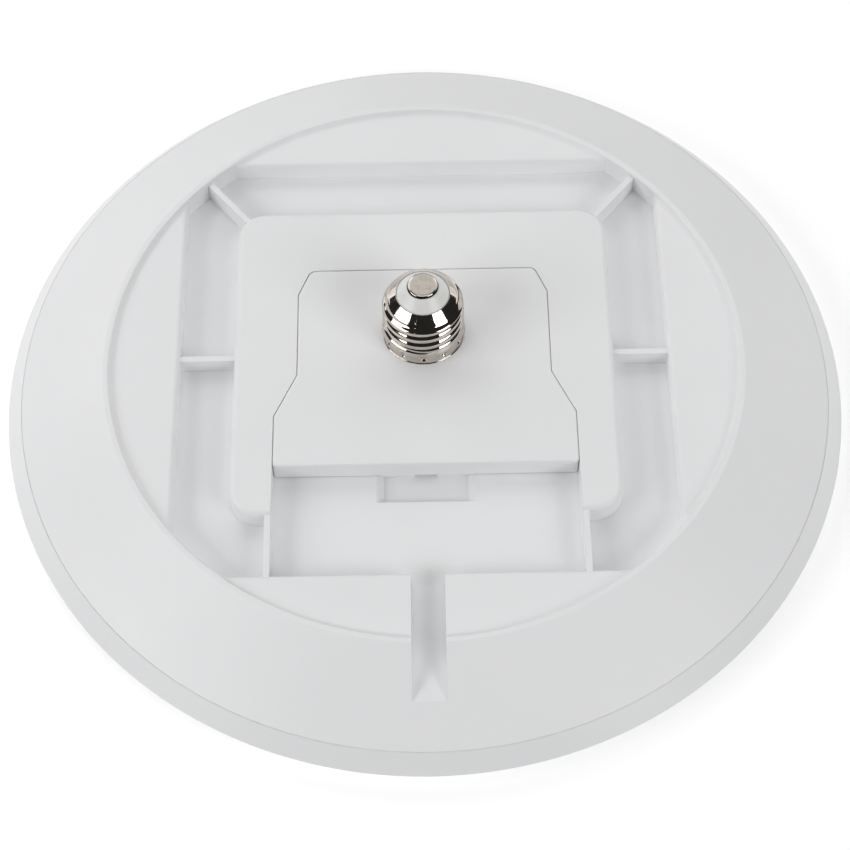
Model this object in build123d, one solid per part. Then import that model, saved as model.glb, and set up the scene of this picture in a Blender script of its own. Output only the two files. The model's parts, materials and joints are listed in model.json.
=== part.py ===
from build123d import *
import math
import os

os.makedirs("parts", exist_ok=True)

# Frame: origin at the centre of the flat front face, +Z towards the screw base,
# -Y towards the side with the tool groove. All sizes in millimetres.

# Round outer form
rim_radius = 137.5
rim_height = 6.0
seam_inset = 5.3
seam_height = 11.9
seam_gap = 0.08
ridge_outer_radius = 103.6
ridge_width = 2.0
ridge_rise = 1.5
ridge_foot_radius = 1.6
ridge_edge_radius = 0.55
ridge_rib_bite = 0.5
wall = 2.0

# Square recess, the segments round it and the boss in it
segment_rise = 6.8
recess_inset = 22.4
recess_edge_radius = 1.4
boss_width = 122.8
boss_depth = 116.6
boss_rise = 7.3
boss_corner_radius = 9.0
boss_edge_radius = 1.6
rib_thickness = 2.1
mid_rib_drop = 1.2
mid_rib_place = 1.0
near_rib_drop = 0.3
near_rib_reach = 3.0
rib_bite = 1.0

# Tool groove and tool pocket on the near side
groove_width = 10.3
dish_width = 31.0
dish_reach = 9.6
dish_under = 8.6
dish_depth = 2.2
catch_bar_width = 1.2

# Adapter plate outline
plate_narrow_width = 82.0
plate_wide_width = 96.4
plate_far = 34.1
plate_near = -41.0
chamfer_width = 4.0
chamfer_length = 9.6
shoulder_far = -7.0
shoulder_near = -22.5
plate_corner_radius = 1.2
far_corner_radius = 3.0
plate_edge_radius = 0.6
plate_clearance = 0.3
side_clearance = 0.1
stop_clearance = 0.1
plate_skin = 2.2
post_side_inset = 11.0
post_near_inset = 11.0
post_far_inset = 17.1
plate_wall = 1.8
cover_thickness = 1.5
cover_clearance = 0.15

# Rails that hold the plate in the pocket
rail_depth = 1.8
rail_bite = 1.0
rail_height = 2.0
rail_lift = 1.0
rail_near = -5.0
rail_far = 22.0
rail_mouth = 6.0
pocket_wall = 4.2

# Screw base, heights counted from the top of the plate
base_y = 9.7
thread_crest_radius = 13.15
thread_root_radius = 12.3
thread_pitch = 3.629
thread_near_crest = 8.68
thread_round_radius = 1.35
shell_sheet = 0.4
skirt_radius = 13.3
skirt_lip_radius = 13.75
skirt_lip_height = 0.8
skirt_height = 5.2
skirt_lip_step = 0.5
shell_height = 20.8
shoulder_start = 15.35
shoulder_edge = 16.0
shoulder_ramp = 0.3
belt_drop = 0.1
shell_mouth_radius = 8.45
insulator_height = 24.4
insulator_tip_radius = 5.2
base_height = 25.3
contact_radius = 5.0
contact_edge = 0.3
contact_foot_radius = 4.4
contact_lift = 0.35
contact_stem_radius = 1.1
contact_stem_length = 7.0
neck_clearance = 0.15
neck_bore_radius = 9.6
neck_height = 14.6
insulator_depth = 2.6
insulator_clearance = 0.05
dimple_count = 12
dimple_radius = 0.7
dimple_height = 2.3

# Latch tongue under the plate
tongue_width = 15.0
tongue_end_gap = 0.3
tongue_length = 24.9
tongue_gap = 0.5
root_clearance = 0.1
hook_inset = 2.0
hook_length = 2.4
hook_depth = 2.0
hook_width = 3.6
hook_clearance = 0.4
hook_tip = 0.5
lift_pad_depth = 1.0
lift_pad_ramp = 1.2
lift_pad_clearance = 0.6
tongue_bite = 0.2

# Electrical contacts
blade_spacing = 24.0
blade_width = 6.3
blade_thickness = 0.8
blade_tail = 23.0
blade_tip = 45.0
blade_tip_radius = 1.2
blade_slot_clearance = 0.3
blade_drop = 1.3
blade_clearance = 0.1
blade_fit = 0.05
ledge_width = 9.0
ledge_inset = 2.0
wedge_width = 8.0
wedge_length = 4.7
wedge_gap = 0.02
clip_thickness = 0.5
clip_length = 9.0
clip_inset = 1.0
clip_clearance = 0.05
supply_exit = 2.0
block_width = 38.0
block_length = 12.0
block_clearance = 0.2
block_drop = 5.2
block_ear_thickness = 1.4
block_screw_spacing = 48.0
block_ear_width = 7.0

# LED board with its chips and lenses
board_edge_gap = 6.1
board_bore_gap = 0.7
board_thickness = 1.2
board_gap = 0.4
board_screw_inset = 12.0
board_screw_count = 6
led_inner_inset = 17.5
led_inner_count = 12
led_outer_inset = 21.0
led_outer_count = 18
led_outer_start = 10.0
chip_size = 3.0
chip_height = 0.7
lens_radius = 7.0
lens_height = 4.8
lens_hollow_radius = 2.6
lens_gap = 0.05
lens_rim_height = 1.6
lens_waist_radius = 6.3
lens_waist_height = 3.2
lens_crown_radius = 4.3
lens_crown_height = 4.4
lens_dimple_radius = 2.1
lens_dimple_depth = 0.5
lens_hollow_height = 2.2

# Driver in the middle; places of its parts count from the board's centre
driver_width = 66.0
driver_length = 58.0
driver_y = 4.0
driver_thickness = 1.6
driver_gap = 1.2
driver_screw_inset = 4.0
driver_corner_radius = 3.0
input_capacitor_place = (-16.0, 6.0)
output_capacitor_place = (8.0, -12.0)
inductor_place = (-10.0, -10.0)
bridge_place = (-2.0, 8.0)
bridge_size = (5.0, 4.4, 2.4)
chip_place = (9.0, 0.0)
chip_body_size = (5.0, 4.0, 1.6)
leg_width = 0.44
leg_length = 1.6
leg_thickness = 0.5
fuse_place = (-8.0, 20.0)
film_place = (14.0, 13.0)
varistor_place = (-18.0, 20.0)
capacitor_radius = 4.0
capacitor_length = 14.0
capacitor_lift = 0.2
capacitor_lead_reach = 3.0
capacitor_lead_spacing = 3.0
capacitor_crimp = 0.4
capacitor_crimp_inset = 2.4
inductor_radius = 5.0
inductor_height = 7.6
inductor_flange = 1.2
inductor_waist = 0.7
film_length = 13.0
film_width = 6.0
film_height = 8.0
film_edge_radius = 0.5
varistor_radius = 3.6
varistor_thickness = 3.4
varistor_lift = 0.8
varistor_lead_spacing = 5.0
fuse_radius = 1.7
fuse_length = 8.0
fuse_cap_length = 1.6
fuse_waist = 0.3
fuse_lift = 0.3
fuse_lead_inset = 0.8
lead_radius = 0.35
connector_width = 8.0
connector_length = 6.0
connector_height = 6.4
connector_edge = 1.0
connector_grip = 0.6
wire_drop = 3.6
wire_spacing = 3.6
wire_hole_clearance = 0.1
wire_lead_in = 4.0

# Driver cover
cup_side_gap = 3.2
cup_wall = 1.2
cup_gap = 1.8
cup_clearance = 1.0
cup_edge_radius = 2.5
cup_flange = 7.7
cover_screw_inset = 3.5
cover_screw_count = 4
cover_screw_start = 45.0

# Front cover
front_edge = 9.5
front_thickness = 2.0
tab_count = 12
tab_width = 14.0
tab_height = 9.0
tab_thickness = 1.6
tab_clearance = 0.3
rim_slope = (0.5, 0.87)
rim_inset = 2.4
rim_edge_radius = 0.4
skirt_gap = 2.0
skirt_step = 0.4

# Screws and wires
screw_core_radius = 1.4
screw_head_radius = 2.5
screw_head_height = 1.5
screw_hole_radius = 1.7
screw_fit = 0.02
slot_length = 3.2
slot_width = 0.6
slot_depth = 0.6
cover_head_depth = 0.8
cover_head_clearance = 0.15
cover_slot_depth = 0.4
screw_sink = 0.05
board_screw_reach = 6.0
floor_screw_reach = 0.6
block_screw_reach = 5.0
screw_hole_end = 0.3
post_radius = 3.2
wire_radius = 0.8
thin_wire_radius = 0.6
wire_neck_gap = 0.2
neck_wire_rise = 8.0
neck_wire_step = 2.0
blade_wire_turn = 6.0
live_wire_lean = 3.5
neutral_wire_start = 5.0
neutral_wire_drop = 4.0
neutral_wire_lean = 6.0
supply_rise = 2.0
supply_step = 3.5
led_wire_rise = 4.5
led_wire_landing = 4.0
bite = 0.5
eps = 0.01

# Heights, stacked from the front face up
cup_bottom = front_thickness + cup_gap
tallest_part = max(
    2 * capacitor_radius + capacitor_lift,
    film_height,
    inductor_height,
    2 * varistor_radius + varistor_lift,
    connector_height,
)
driver_bottom = cup_bottom + cup_wall + cup_clearance + tallest_part
floor_height = driver_bottom + driver_thickness + driver_gap + wall
segment_height = floor_height + segment_rise
ridge_height = segment_height + ridge_rise
boss_height = floor_height + boss_rise
mid_rib_height = segment_height - mid_rib_drop
near_rib_height = segment_height - near_rib_drop
plate_bottom = floor_height + plate_clearance
plate_top = boss_height
skin_bottom = plate_top - plate_skin
high = boss_height + 40.0

# Round outlines
seam_radius = rim_radius - seam_inset
front_flat_radius = rim_radius - front_edge
ridge_inner_radius = ridge_outer_radius - ridge_width
recess_half = ridge_inner_radius - recess_inset
skirt_outer_radius = seam_radius - skirt_step
skirt_bottom = front_thickness + skirt_gap
flange_angle = math.atan2(ridge_height - seam_height, seam_radius - ridge_outer_radius)
flange_roof = ridge_height - wall / math.cos(flange_angle)

# Plate, latch and contacts
post_x = plate_narrow_width / 2 - post_side_inset
post_near_y = plate_near + post_near_inset
post_far_y = plate_far - post_far_inset
dish_near = plate_near - dish_reach
dish_far = plate_near + dish_under
shell_bore = thread_root_radius - shell_sheet
tongue_near = plate_near + plate_wall + tongue_end_gap
tongue_root = tongue_near + tongue_length
tongue_axis = plate_bottom + cover_thickness / 2
hook_near = tongue_near + hook_inset
hook_outer = tongue_width / 2
hook_inner = hook_outer - hook_width
hook_far = hook_near + hook_length
slot_near = hook_near - hook_clearance
slot_far = hook_far + hook_clearance
slot_bottom = plate_bottom - hook_depth - hook_clearance
blade_places = (-blade_spacing / 2, blade_spacing / 2)
blade_height = skin_bottom - blade_drop
block_near = plate_far + stop_clearance + wall + block_clearance
block_far = block_near + block_length
block_y = block_near + block_ear_width / 2
block_top = boss_height - wall
block_bottom = blade_height - block_drop
block_ear_bottom = block_bottom - block_ear_thickness
supply_exit_y = block_near + block_ear_width + supply_exit

# Driver's cup, LED board and the screws through them
corner_x = driver_width / 2 - driver_corner_radius
corner_y = driver_y + driver_length / 2 - driver_corner_radius
driver_reach = math.hypot(corner_x, corner_y) + driver_corner_radius
cup_radius = driver_reach + cup_side_gap + cup_wall
cup_flange_radius = cup_radius + cup_flange
cover_screw_circle = cup_flange_radius - cover_screw_inset
board_top = floor_height - dish_depth - wall - board_gap
board_bottom = board_top - board_thickness
board_inner_radius = cup_radius + board_bore_gap
board_reach = (flange_roof - board_top - board_edge_gap) / math.tan(flange_angle)
board_outer_radius = ridge_outer_radius + board_reach
board_screw_circle = board_outer_radius - board_screw_inset
led_rings = [
    (board_inner_radius + led_inner_inset, led_inner_count, 0.0),
    (board_outer_radius - led_outer_inset, led_outer_count, led_outer_start),
]
board_screw_tip = board_top + board_screw_reach
floor_screw_tip = floor_height - wall + floor_screw_reach
block_screw_tip = block_bottom + block_screw_reach
wire_level = driver_bottom - wire_drop
input_x = 0.0
input_y = driver_y + driver_length / 2 - connector_length / 2 - connector_edge
output_x = driver_width / 2 - connector_length / 2 - connector_edge
output_y = driver_y


def block(x0, x1, y0, y1, z0, z1):
    """Box between two corners."""
    centre = ((x0 + x1) / 2, (y0 + y1) / 2, (z0 + z1) / 2)
    return Pos(*centre) * Box(x1 - x0, y1 - y0, z1 - z0)


def disc(x, y, radius, z0, z1):
    """Upright cylinder between two heights."""
    return Pos(x, y, (z0 + z1) / 2) * Cylinder(radius, z1 - z0)


def turned(points):
    """Solid turned round the Z axis from an outline of (radius, height) points."""
    outline = make_face(Polyline(*[(r, 0, z) for r, z in points], close=True))
    return revolve(outline, Axis.Z)


def around(radius, count, start=0.0):
    """Points evenly spaced on a circle."""
    turns = [math.radians(start + 360.0 * i / count) for i in range(count)]
    return [(radius * math.cos(a), radius * math.sin(a)) for a in turns]


def save(name, shape):
    """Write one node; a list becomes a group of separate solids."""
    if isinstance(shape, list):
        shape = Compound(children=[s.solid() for s in shape])
    export_step(shape, "parts/" + name + ".step")


def screw(x, y, head_bottom, tip):
    """Pan-head screw that points up, with its cross-slotted head below."""
    head_top = head_bottom + screw_head_height
    head = disc(x, y, screw_head_radius, head_bottom, head_top)
    long = slot_length / 2
    thin = slot_width / 2
    slot = block(x - long, x + long, y - thin, y + thin, head_bottom - eps, head_bottom + slot_depth)
    cross = block(x - thin, x + thin, y - long, y + long, head_bottom - eps, head_bottom + slot_depth)
    shank = disc(x, y, screw_core_radius, head_top, tip)
    return head - slot - cross + shank


def wire(points, radius):
    """Round wire along straight runs joined by the largest tangent arcs that fit."""
    vectors = [Vector(*p) for p in points]
    bends = []
    for before, at, after in zip(vectors, vectors[1:], vectors[2:]):
        turn = math.radians((at - before).get_angle(after - at))
        run = min((at - before).length, (after - at).length)
        bends.append(0.45 * run / math.tan(turn / 2))
    path = FilletPolyline(*points, radius=bends)
    print("wire bend radii", [round(b, 1) for b in bends])
    section = Plane(origin=path @ 0, z_dir=path % 0) * Circle(radius)
    return sweep(section, path=path)


def plate_prism(side, stop, z0, z1, open_near=0.0):
    """The plate's outline as a prism, grown by margins at its sides and at its far end.

    open_near lengthens it towards -Y.
    """
    narrow = plate_narrow_width / 2 + side
    wide = plate_wide_width / 2 + side
    far = plate_far + stop
    half = [
        (narrow - chamfer_width, far),
        (narrow, far - chamfer_length),
        (narrow, shoulder_far),
        (wide, shoulder_near),
        (wide, plate_near - side - open_near),
    ]
    outline = half + [(-x, y) for x, y in reversed(half)]
    prism = extrude(Plane.XY.offset(z0) * make_face(Polyline(*outline, close=True)), z1 - z0)
    far_edges = [e for e in prism.edges().filter_by(Axis.Z) if e.center().Y > far - eps]
    return fillet(far_edges, far_corner_radius + side)


# Back housing: outer form and hollow come from the same functions
def round_form(inset):
    """Turned body of the housing, drawn in by the wall thickness for its hollow."""
    drop = inset / math.cos(flange_angle)
    slope = math.tan(flange_angle)
    top = segment_height - inset
    skirt = skirt_outer_radius - inset
    if inset:
        meet = ridge_outer_radius + (ridge_height - drop - top) / slope
        edge = seam_height - drop + (seam_radius - skirt) * slope
        low = skirt_bottom - 1
        return turned([(0, low), (skirt, low), (skirt, edge), (meet, top), (0, top)])
    seam_step = seam_height - front_thickness
    points = [
        (0, skirt_bottom),
        (skirt, skirt_bottom),
        (skirt, seam_step),
        (seam_radius, seam_step),
        (seam_radius, seam_height),
        (ridge_outer_radius, ridge_height),
        (ridge_inner_radius, ridge_height),
        (ridge_inner_radius, segment_height),
        (0, segment_height),
    ]
    body = turned(points)
    crest = [e for e in body.edges().filter_by(GeomType.CIRCLE) if abs(e.center().Z - ridge_height) < eps]
    body = fillet(crest, ridge_edge_radius)
    foot = [
        e
        for e in body.edges().filter_by(GeomType.CIRCLE)
        if abs(e.radius - ridge_inner_radius) < eps and abs(e.center().Z - segment_height) < eps
    ]
    return fillet(foot, ridge_foot_radius)


def recess_form(inset):
    """Square recess whose corners end at the ridge."""
    half = recess_half + inset
    square = block(-half, half, -half, half, floor_height - inset, high)
    return square & disc(0, 0, ridge_inner_radius + inset, floor_height - inset, high)


def boss_form(inset):
    """Boss that carries the adapter plate."""
    width = boss_width / 2 - inset
    depth = boss_depth / 2 - inset
    body = block(-width, width, -depth, depth, floor_height - inset, boss_height - inset)
    body = fillet(body.edges().filter_by(Axis.Z), boss_corner_radius - inset)
    if inset:
        return body
    return fillet(body.faces().sort_by(Axis.Z)[-1].edges(), boss_edge_radius)


def pocket_form(inset):
    """Room for the adapter plate, open towards the near side, with its rail grooves."""
    stop = stop_clearance + inset
    room = plate_prism(side_clearance + inset, stop, floor_height - inset, high, recess_half + plate_near)
    side = plate_narrow_width / 2 + plate_clearance + rail_depth
    rail_bottom = plate_bottom + rail_lift - plate_clearance
    rail_top = plate_bottom + rail_lift + rail_height + plate_clearance
    if inset:
        side = plate_narrow_width / 2 + pocket_wall
        thick = block(-side, side, shoulder_near, plate_far + stop, floor_height - inset, high)
        return room + thick
    rails = block(-side, side, shoulder_near + rail_mouth, rail_far + plate_clearance, rail_bottom, rail_top)
    return room + rails


def groove_form(inset):
    """Channel for a release tool, through the near segment, the ridge and the flange."""
    half = groove_width / 2 + inset
    channel = block(-half, half, -seam_radius, -recess_half + wall + eps, floor_height - inset, high)
    return channel


def dish_form(inset):
    """Sloping pocket in the floor that lets the tool under the plate."""
    top = dish_width / 2 + inset
    bottom = top - dish_depth
    z0 = floor_height - dish_depth - inset
    z1 = floor_height + (1.0 if not inset else 0.0)
    spread = (z1 - z0) * (top - bottom) / dish_depth if not inset else 0.0
    outline = [(-bottom, z0), (bottom, z0), (bottom + spread, z1), (-bottom - spread, z1)]
    if inset:
        outline = [(-top, z0), (top, z0), (top, z1), (-top, z1)]
    near = dish_near - inset
    far = dish_far + inset
    face = make_face(Polyline(*[(x, near, z) for x, z in outline], close=True))
    return extrude(face, far - near, dir=(0, 1, 0))


def blade_slots():
    """Slots in the far wall of the pocket that the blades pass through."""
    margin = blade_slot_clearance
    far = plate_far + stop_clearance + pocket_wall + 1
    z0 = blade_height - blade_thickness / 2 - margin
    z1 = blade_height + blade_thickness / 2 + margin
    half = blade_width / 2 + margin
    return [block(x - half, x + half, plate_far - 1, far, z0, z1) for x in blade_places]


def catch_slots(inset):
    """Two slots in the floor that the hooks of the latch drop into."""
    slots = []
    for side in (-1, 1):
        a = side * (hook_inner - hook_clearance - inset)
        b = side * (hook_outer + hook_clearance + inset)
        x0, x1 = min(a, b), max(a, b)
        slots.append(block(x0, x1, slot_near - inset, slot_far + inset,
                           slot_bottom - inset, floor_height + 1))
    return slots


def catch_bars():
    """The floor stays whole between dish and slots, beside the tool's way."""
    bars = []
    for side in (-1, 1):
        a = side * (hook_inner - hook_clearance)
        b = side * (dish_width / 2 + 1)
        x0, x1 = min(a, b), max(a, b)
        near = tongue_near - catch_bar_width
        bars.append(block(x0, x1, near, dish_far + 1, floor_height - dish_depth - 1, floor_height))
    return bars


def diagonal_rib(side):
    """Rib from a far corner of the boss to the ridge."""
    start = boss_width / 2 - boss_corner_radius * 0.5
    reach = (ridge_inner_radius + ridge_rib_bite) / math.sqrt(2)
    start_y = boss_depth / 2 - boss_corner_radius * 0.5
    length = math.hypot(reach - start, reach - start_y)
    middle = ((start + reach) / 2, (start_y + reach) / 2)
    turn = math.degrees(math.atan2(reach - start_y, reach - start))
    rib = Rot(0, 0, turn) * Box(length, rib_thickness, segment_height - floor_height)
    rib = Pos(middle[0], middle[1], (segment_height + floor_height) / 2) * rib
    return rib if side > 0 else mirror(rib, Plane.YZ)


def post_places():
    """Every screw post inside: its place, its foot, and how deep its hole goes."""
    posts = [(p, board_top, board_screw_tip) for p in around(board_screw_circle, board_screw_count)]
    cover = around(cover_screw_circle, cover_screw_count, cover_screw_start)
    posts += [(p, board_top, floor_screw_tip) for p in cover]
    posts += [(p, driver_bottom + driver_thickness, floor_screw_tip) for p in driver_screw_places()]
    posts += [(p, block_bottom, block_screw_tip) for p in block_screw_places()]
    return posts


def back_housing():
    """Moulded back with flange, ridge, recess, boss, ribs, groove and screw posts."""
    outer = round_form(0)
    outer = outer - recess_form(0)
    edges = [
        e
        for e in outer.edges().filter_by(GeomType.LINE)
        if abs(e.center().Z - segment_height) < eps and e.length > recess_half
    ]
    outer = fillet(edges, recess_edge_radius)
    boss_half = boss_width / 2
    side_x = plate_wide_width / 2 + side_clearance
    rib_half = rib_thickness / 2
    rib_near = -recess_half - rib_bite
    rib_far = -boss_depth / 2 + near_rib_reach
    rib_foot = floor_height - rib_bite
    mid_rib = block(boss_half - rib_bite, recess_half + rib_bite,
                    mid_rib_place - rib_half, mid_rib_place + rib_half, rib_foot, mid_rib_height)
    near_rib = block(side_x, side_x + rib_thickness, rib_near, rib_far, rib_foot, near_rib_height)
    outer = outer + boss_form(0) + diagonal_rib(1) + diagonal_rib(-1)
    for rib in (mid_rib, near_rib):
        outer = outer + rib + mirror(rib, Plane.YZ)
    outer = outer - pocket_form(0) - groove_form(0)
    dish = dish_form(0)
    for bar in catch_bars():
        dish = dish - bar
    outer = outer - dish
    for slot in catch_slots(0):
        outer = outer - slot
    hollow = round_form(wall) - recess_form(wall) + boss_form(wall) - pocket_form(wall)
    hollow = hollow - groove_form(wall) - dish_form(wall)
    for slot in catch_slots(wall):
        hollow = hollow - slot
    for (x, y), foot, tip in post_places():
        hollow = hollow - disc(x, y, post_radius, foot, high)
    body = outer - hollow
    for (x, y), foot, tip in post_places():
        body = body - disc(x, y, screw_core_radius + screw_fit, foot - 1, tip + screw_hole_end)
    for slot in blade_slots():
        body = body - slot
    return body


def driver_screw_places():
    """Corners of the driver board."""
    x = driver_width / 2 - driver_screw_inset
    y = driver_length / 2 - driver_screw_inset
    return [(sx * x, driver_y + sy * y) for sx in (-1, 1) for sy in (-1, 1)]


def block_screw_places():
    """Ears of the contact block."""
    return [(side * block_screw_spacing / 2, block_y) for side in (-1, 1)]


# Front cover
def front_diffuser():
    """Flat milky front whose rim curves up and then slopes back to the seam, with snap tabs inside."""
    t = front_thickness
    lip = seam_radius + seam_gap
    inner_rim = rim_radius - rim_inset
    outer_line = [
        Line((0, 0, 0), (front_flat_radius, 0, 0)),
        Spline((front_flat_radius, 0, 0), (rim_radius, 0, rim_height),
               tangents=((1, 0, 0), (rim_slope[0], 0, rim_slope[1]))),
        Line((rim_radius, 0, rim_height), (lip, 0, seam_height)),
        Line((lip, 0, seam_height), (lip, 0, seam_height - t)),
        Line((lip, 0, seam_height - t), (inner_rim, 0, rim_height)),
        Spline((inner_rim, 0, rim_height), (front_flat_radius, 0, t),
               tangents=((-rim_slope[0], 0, -rim_slope[1]), (-1, 0, 0))),
        Line((front_flat_radius, 0, t), (0, 0, t)),
        Line((0, 0, t), (0, 0, 0)),
    ]
    shell = revolve(make_face(outer_line), Axis.Z)
    widest = [e for e in shell.edges().filter_by(GeomType.CIRCLE) if abs(e.radius - rim_radius) < eps]
    shell = fillet(widest, rim_edge_radius)
    outer = skirt_outer_radius - wall - tab_clearance
    tabs = disc(0, 0, outer, t - eps, tab_height) - disc(0, 0, outer - tab_thickness, t - 1, tab_height + 1)
    for i in range(tab_count):
        keep = Box(4 * tab_width, tab_width, 40)
        spoke = Rot(0, 0, 360.0 * i / tab_count) * (Pos(outer, 0, 10) * keep)
        shell = shell + (tabs & spoke)
    return shell


# LED board, chips and lenses
def led_board():
    """White board in a ring round the driver's room, with its screw holes."""
    ring = disc(0, 0, board_outer_radius, board_bottom, board_top)
    ring = ring - disc(0, 0, board_inner_radius, board_bottom - 1, board_top + 1)
    holes = around(board_screw_circle, board_screw_count)
    holes += around(cover_screw_circle, cover_screw_count, cover_screw_start)
    for x, y in holes:
        ring = ring - disc(x, y, screw_hole_radius, board_bottom - 1, board_top + 1)
    return ring


def led_places():
    """Every LED's place and the way it faces round the ring."""
    places = []
    for radius, count, start in led_rings:
        for i, (x, y) in enumerate(around(radius, count, start)):
            places.append((x, y, start + 360.0 * i / count))
    return places


def led_chip(x, y, turn):
    """Square chip with its side turned towards the board's centre."""
    chip = Rot(0, 0, turn) * Box(chip_size, chip_size, chip_height)
    return Pos(x, y, board_bottom - chip_height / 2) * chip


def led_lens(x, y):
    """Domed lens with a dimpled crown and a hollow over its chip, seated on the board."""
    top = board_bottom - lens_gap
    dome = turned([
        (lens_hollow_radius, top),
        (lens_radius, top),
        (lens_radius, top - lens_rim_height),
        (lens_waist_radius, top - lens_waist_height),
        (lens_crown_radius, top - lens_crown_height),
        (lens_dimple_radius, top - lens_height),
        (0, top - lens_height + lens_dimple_depth),
        (0, top - lens_hollow_height),
        (lens_hollow_radius * 0.7, top - lens_hollow_height * 0.8),
    ])
    return Pos(x, y, 0) * dome


# Driver cover
def driver_cover():
    """Round cup below the driver with a flange that screws on through the LED board."""
    cup = disc(0, 0, cup_radius, cup_bottom, board_bottom)
    cup = fillet(cup.edges().sort_by(Axis.Z)[0], cup_edge_radius)
    cup = cup + disc(0, 0, cup_flange_radius, board_bottom - cup_wall, board_bottom)
    cup = cup - disc(0, 0, cup_radius - cup_wall, cup_bottom + cup_wall, board_bottom + 1)
    for x, y in around(cover_screw_circle, cover_screw_count, cover_screw_start):
        cup = cup - disc(x, y, screw_hole_radius, cup_bottom, board_bottom + 1)
    return cup


# Driver board and what it carries
def driver_board():
    """Circuit board with rounded corners and a screw hole in each."""
    top = driver_bottom + driver_thickness
    half_x = driver_width / 2
    half_y = driver_length / 2
    board = block(-half_x, half_x, driver_y - half_y, driver_y + half_y, driver_bottom, top)
    board = fillet(board.edges().filter_by(Axis.Z), driver_corner_radius)
    for x, y in driver_screw_places():
        board = board - disc(x, y, screw_hole_radius, driver_bottom - 1, top + 1)
    return board


def on_board(place):
    """A place counted from the board's centre, in the part's frame."""
    return place[0], driver_y + place[1]


def leads(places, z0):
    """Short round leads from the board down into a component."""
    return [disc(x, y, lead_radius, z0, driver_bottom) for x, y in places]


def joined(body, pins):
    """A body with its leads."""
    for pin in pins:
        body = body + pin
    return body


def lying_capacitor(place):
    """Electrolytic can on its side with its crimp and two leads."""
    x, y = on_board(place)
    height = driver_bottom - capacitor_radius - capacitor_lift
    can = Pos(x, y, height) * Rot(0, 90, 0) * Cylinder(capacitor_radius, capacitor_length)
    can = fillet(can.edges().filter_by(GeomType.CIRCLE), capacitor_crimp)
    crimp_x = x + capacitor_length / 2 - capacitor_crimp_inset
    crimp = Pos(crimp_x, y, height) * Rot(0, 90, 0) * Torus(capacitor_radius, capacitor_crimp)
    lead_x = x + capacitor_lead_reach
    half = capacitor_lead_spacing / 2
    return joined(can - crimp, leads([(lead_x, y - half), (lead_x, y + half)], height))


def power_inductor(place):
    """Drum core with a wound waist between two flanges."""
    x, y = on_board(place)
    bottom = driver_bottom - inductor_height
    waist = inductor_radius - inductor_waist
    slope = inductor_waist * 0.3
    drum = turned([
        (0, bottom),
        (inductor_radius, bottom),
        (inductor_radius, bottom + inductor_flange),
        (waist, bottom + inductor_flange + slope),
        (waist, driver_bottom - inductor_flange - slope),
        (inductor_radius, driver_bottom - inductor_flange),
        (inductor_radius, driver_bottom),
        (0, driver_bottom),
    ])
    return Pos(x, y, 0) * drum


def film_capacitor(place):
    """Boxed film capacitor that stands on the board."""
    x, y = on_board(place)
    half = film_length / 2
    thin = film_width / 2
    case = block(x - half, x + half, y - thin, y + thin, driver_bottom - film_height, driver_bottom)
    return fillet(case.edges(), film_edge_radius)


def surge_varistor(place):
    """Disc varistor standing on two leads."""
    x, y = on_board(place)
    height = driver_bottom - varistor_radius - varistor_lift
    coin = Pos(x, y, height) * Rot(90, 0, 0) * Cylinder(varistor_radius, varistor_thickness)
    coin = fillet(coin.edges().filter_by(GeomType.CIRCLE), varistor_thickness / 4)
    half = varistor_lead_spacing / 2
    return joined(coin, leads([(x - half, y), (x + half, y)], height))


def fuse_resistor(place):
    """Dumb-bell shaped fusible resistor on its side."""
    x, y = on_board(place)
    height = driver_bottom - fuse_radius - fuse_lift
    half = fuse_length / 2
    waist = fuse_radius - fuse_waist
    cap = half - fuse_cap_length
    body = turned([
        (0, -half), (fuse_radius, -half), (fuse_radius, -cap), (waist, -cap + fuse_waist),
        (waist, cap - fuse_waist), (fuse_radius, cap), (fuse_radius, half), (0, half),
    ])
    body = Pos(x, y, height) * Rot(90, 0, 0) * body
    reach = half - fuse_lead_inset
    return joined(body, leads([(x, y - reach), (x, y + reach)], height))


def flat_package(place, size, pins):
    """Moulded chip with legs on its two long sides."""
    x, y = on_board(place)
    length, width, height = size
    body = block(x - length / 2, x + length / 2, y - width / 2, y + width / 2,
                 driver_bottom - height, driver_bottom - leg_thickness / 5)
    step = length / pins
    for side in (-1, 1):
        for i in range(pins):
            px = x + (i - (pins - 1) / 2) * step
            py = y + side * (width / 2 + leg_length / 3)
            leg = block(px - leg_width / 2, px + leg_width / 2, py - leg_length / 2, py + leg_length / 2,
                        driver_bottom - leg_thickness, driver_bottom)
            body = body + leg
    return body


def connector(x, y, along_x):
    """Two-way wire connector; its mouth faces the board's edge."""
    length = connector_length if along_x else connector_width
    width = connector_width if along_x else connector_length
    bottom = driver_bottom - connector_height
    bore = wire_radius + wire_hole_clearance
    case = block(x - length / 2, x + length / 2, y - width / 2, y + width / 2, bottom, driver_bottom)
    for shift in (-wire_spacing / 2, wire_spacing / 2):
        if along_x:
            hole = Pos(x + length / 2, y + shift, wire_level) * Rot(0, 90, 0) * Cylinder(bore, length)
        else:
            hole = Pos(x + shift, y + width / 2, wire_level) * Rot(90, 0, 0) * Cylinder(bore, width)
        case = case - hole
    return case


# Contacts between adapter and light
def contact_clip(x):
    """Brass sleeve that grips a blade."""
    room_x = blade_width / 2 + blade_clearance
    room_z = blade_thickness / 2 + blade_clearance
    near = block_near + clip_inset
    far = near + clip_length
    sleeve = block(x - room_x - clip_thickness, x + room_x + clip_thickness, near, far,
                   blade_height - room_z - clip_thickness, blade_height + room_z + clip_thickness)
    return sleeve - block(x - room_x, x + room_x, near - 1, far + 1,
                          blade_height - room_z, blade_height + room_z)


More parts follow.
